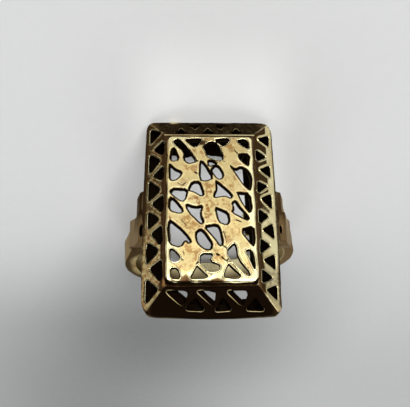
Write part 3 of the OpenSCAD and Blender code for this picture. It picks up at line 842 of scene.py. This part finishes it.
def paintShank(masks, x, y, z, reach, facing):
    # the hoop's near face and the steps are darker than the rest of the shank, painted dark reflections with
    # tarnish
    shank = {"outside": (9.12, 9.3), "below": (-11.4, -10.6), "beside": (7.04, 7.14), "lowLeft": 0.25,
             "lowFrom": (-6.0, -5.0)}
    face = {"faces": (0.6, 0.9), "top": 8.0, "near": -1.0, "left": 0.8, "right": 0.4}
    step = {"low": 9.3, "high": 12.0, "x": 7.1, "y": -0.4, "left": 0.9, "right": 0.7, "rightFrom": 10.3,
            "leftShadeAndDirt": 0.45, "shadeAndDirtFrom": 10.0, "bright": 0.5, "brightTo": 9.9}
    line = {"z": 5.9, "wide": 0.22, "x": 8.0, "y": 1.8, "shadeAndDirt": 0.9}
    outside = smooth(reach, *shank["outside"])
    topStep = (z > step["low"]) * (z < step["high"]) * (np.abs(x) > step["x"]) * (y > step["y"])
    offHead = np.maximum(smooth(-z, *shank["below"]), smooth(np.abs(x), *shank["beside"]))
    deepen(masks, "dull", offHead * outside)
    # a painted highlight on the right top step
    masks["dull"] *= 1 - step["bright"] * topStep * (x > 0) * (z < step["brightTo"])
    masks["dull"] *= 1 - shank["lowLeft"] * smooth(-z, *shank["lowFrom"]) * (x < 0)
    nearFace = smooth(-facing[:, 1], *face["faces"]) * (z < face["top"]) * (y < face["near"]) * outside
    deepen(masks, "tarnishAndShade", nearFace * np.where(x < 0, face["left"], face["right"]))
    deepen(masks, "tarnishAndShade", topStep * np.where(x < 0, step["left"], step["right"] * (z > step["rightFrom"])))
    deepen(masks, "shadeAndDirt", step["leftShadeAndDirt"] * topStep * (x < 0) * (z > step["shadeAndDirtFrom"]))
    # a painted shade line along the middle step's lower edge
    stepShadeLine = np.exp(-((z - line["z"]) / line["wide"]) ** 2) * outside
    deepen(masks, "shadeAndDirt", line["shadeAndDirt"] * stepShadeLine * (np.abs(x) > line["x"]) * (np.abs(y) < line["y"]))


def paintHole(masks, y, inHoop):
    # the finger hole's wall has painted shade that deepens evenly towards its near edge, in a straight ramp
    # as its points are few
    hole = {"tarnishAndShade": 0.42, "tarnishAndShadeNear": 0.24, "pale": 0.95, "stain": 0.66, "stainNear": 0.12}
    masks["tarnishAndShade"] = np.where(inHoop > 0.5, hole["tarnishAndShade"] - hole["tarnishAndShadeNear"] * y, masks["tarnishAndShade"])
    masks["pale"] = np.where(inHoop > 0.5, hole["pale"], masks["pale"])
    deepen(masks, "stain", inHoop * (hole["stain"] - hole["stainNear"] * y))
    masks["calm"] = inHoop


def paintFarHighlights(masks, x, y, z):
    # painted highlights: a bright line along the far ledge, and a bright spot on a nick in the far rim
    line = {"y": 8.5, "wide": 0.06, "x": 4.9, "low": 13.7}
    nick = {"at": (-3.9, 10.8, 0.45, 0.2), "low": 12.2}
    share = 0.9
    alongLedge = np.exp(-((y - line["y"]) / line["wide"]) ** 2) * (np.abs(x) < line["x"]) * (z > line["low"])
    highlit = share * np.maximum(alongLedge, blob(x, y, *nick["at"]) * (z > nick["low"]))
    for name in ("shadeAndDirt", "tarnishAndShade"):
        masks[name] = masks[name] * (1 - highlit)


def writeMasks(mesh, masks):
    for name, values in masks.items():
        layer = mesh.attributes.new(name, "FLOAT", "POINT")
        layer.data.foreach_set("value", np.clip(values, 0, 1).astype(np.float32))


def finishPiece(mesh, name, material):
    mesh.transform(ringToFloor)
    writePoints(mesh, np.clip(readPoints(mesh), *np.array(cadBox, float)))
    mesh.materials.clear()
    mesh.materials.append(material)
    for polygon in mesh.polygons:
        polygon.use_smooth = True
    made = bpy.data.objects.new(name, mesh)
    bpy.context.collection.objects.link(made)
    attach(made, "root")
    return made


# Raised rims round the gaps

rimSizes = {"Radius": 0.07, "Step": 0.12, "Wobble": 0.4, "Wave": 1.1, "Seed": 7}
rimSides = 8


def rimTree():
    tree = bpy.data.node_groups.new("gapRims", "GeometryNodeTree")
    tree.interface.new_socket("Geometry", in_out="INPUT", socket_type="NodeSocketGeometry")
    for label, value in rimSizes.items():
        kind = "NodeSocketInt" if label == "Seed" else "NodeSocketFloat"
        tree.interface.new_socket(label, in_out="INPUT", socket_type=kind).default_value = value
    tree.interface.new_socket("Finish", in_out="INPUT", socket_type="NodeSocketMaterial")
    tree.interface.new_socket("Geometry", in_out="OUTPUT", socket_type="NodeSocketGeometry")
    given = Wire.node(tree, "NodeGroupInput")
    curve = Wire.node(tree, "GeometryNodeMeshToCurve", {}, {"Mesh": given})
    curve = Wire.node(tree, "GeometryNodeResampleCurve", {"mode": "LENGTH"},
                      {"Curve": curve, "Length": given.other("Step")})
    place = Wire.node(tree, "GeometryNodeInputPosition")
    wave = Wire.node(tree, "ShaderNodeTexNoise", {"noise_dimensions": "4D"},
                     {"Vector": place, "W": given.other("Seed"), "Scale": given.other("Wave"), "Detail": 2})
    bulk = Wire.node(tree, "GeometryNodeInputNamedAttribute", {"data_type": "FLOAT"}, {"Name": "bulk"})
    thick = bulk * (1 + (wave - 0.5) * 2 * given.other("Wobble"))
    ring = Wire.node(tree, "GeometryNodeCurvePrimitiveCircle", {"mode": "RADIUS"},
                     {"Resolution": rimSides, "Radius": given.other("Radius")})
    tube = Wire.node(tree, "GeometryNodeCurveToMesh", {},
                     {"Curve": curve, "Profile Curve": ring, "Scale": thick})
    real = Wire.node(tree, "GeometryNodeRealizeInstances", {}, {"Geometry": tube})
    done = Wire.node(tree, "GeometryNodeSetMaterial", {},
                     {"Geometry": real, "Material": given.other("Finish")})
    Wire.node(tree, "NodeGroupOutput", {}, {"Geometry": done})
    return tree


def makeRims(loops, material):
    # a rim's bulk is its least, plus its gain on the side that faces the given way
    rims = {
        "table": (0.0, 0.0, 0, 0), "tableNear": (0.6, 0.4, 0, -1), "tableFar": (0.2, 0.8, 0, 1),
        "leftOuter": (0.1, 0.9, -1, 0), "leftInner": (0.0, 1.1, -0.6, 0.8),
        "rightOuter": (0.5, 0.6, -0.6, -0.8), "rightInner": (0.2, 0.8, 0.6, 0.8),
        "nearInner": (0.0, 1.1, -0.9, -0.45), "nearOuter": (0.0, 1.0, 0, -1),
        "farInner": (0.0, 0.5, 0, 1), "farOuter": (0.0, 0.3, 0, -1),
    }
    sink = 0.02
    # rims near the head's ends are darker, tarnish and painted shade like the ends; elsewhere the pale rims
    # are worn bright and painted as highlights
    endShadeAndTarnish = {"from": (8.2, 8.6), "wide": 5.6, "shadeAndDirt": 0.25, "tarnishAndShade": 0.35, "pale": 0.9, "lessPale": 0.5}
    points, edges, bulk = [], [], []
    for run in loops:
        middle = sum(run, Vector()) / len(run)
        least, gain, faceX, faceY = rims[gapKind(middle.x - head["shift"], middle.y)]
        if least + gain == 0:
            continue
        first = len(points)
        for p in run:
            way = (p - middle).normalized()
            bulk.append(least + gain * max(0.0, way.x * faceX + way.y * faceY) ** 2)
            points.append((p.x, p.y, p.z - sink))
        edges += [(first + i, first + (i + 1) % len(run)) for i in range(len(run))]
    mesh = bpy.data.meshes.new("gapEdges")
    mesh.from_pydata(points, edges, [])
    mesh.attributes.new("bulk", "FLOAT", "POINT").data.foreach_set("value", bulk)
    path = bpy.data.objects.new("gapEdges", mesh)
    bpy.context.collection.objects.link(path)
    tree = rimTree()
    grow = path.modifiers.new("rims", "NODES")
    grow.node_group = tree
    named = {item.name: item.identifier for item in tree.interface.items_tree if item.in_out == "INPUT"}
    for label, value in {**rimSizes, "Finish": material}.items():
        grow[named[label]] = value
    tubes = evaluated(path)
    bpy.data.objects.remove(path)
    count = len(tubes.vertices)
    x, y, z = headPlace(readPoints(tubes))
    ends = smooth(np.abs(y), *endShadeAndTarnish["from"]) * (np.abs(x) < endShadeAndTarnish["wide"])
    writeMasks(tubes, {"shadeAndDirt": endShadeAndTarnish["shadeAndDirt"] * ends, "tarnishAndShade": endShadeAndTarnish["tarnishAndShade"] * ends,
                       "pale": endShadeAndTarnish["pale"] - endShadeAndTarnish["lessPale"] * ends,
                       "stain": np.zeros(count), "dull": np.zeros(count), "calm": np.ones(count)})
    print("rim faces:", len(tubes.polygons))
    return tubes


def gapKind(x, y):
    # which part of the head a gap is in, from its middle
    band = {"near": -5.0, "far": 6.0, "halfway": 0.5}
    if abs(x) < head["tableX"] and abs(y) < head["tableY"]:
        return "tableNear" if y < band["near"] else "tableFar" if y > band["far"] else "table"
    endOn, sideOn = acrossFrame(np.array(x), np.array(y))
    if endOn > max(sideOn, 0.0):
        end = "near" if y < 0 else "far"
        return end + ("Outer" if endOn > band["halfway"] else "Inner")
    side = "left" if x < 0 else "right"
    return side + ("Outer" if sideOn > band["halfway"] else "Inner")


makeCamera()
makeFloor()
makeLights()
gold = makeGold()
bodyMesh, loops, walls = makeBody(frame["nodes"]["ring"])
paint(bodyMesh, loops, walls, shading(bodyMesh))
ring = finishPiece(bodyMesh, "goldRing", gold)
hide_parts("ring")
finishPiece(makeRims(loops, gold), "gapRims", gold)
bpy.context.scene.view_settings.view_transform = "Standard"
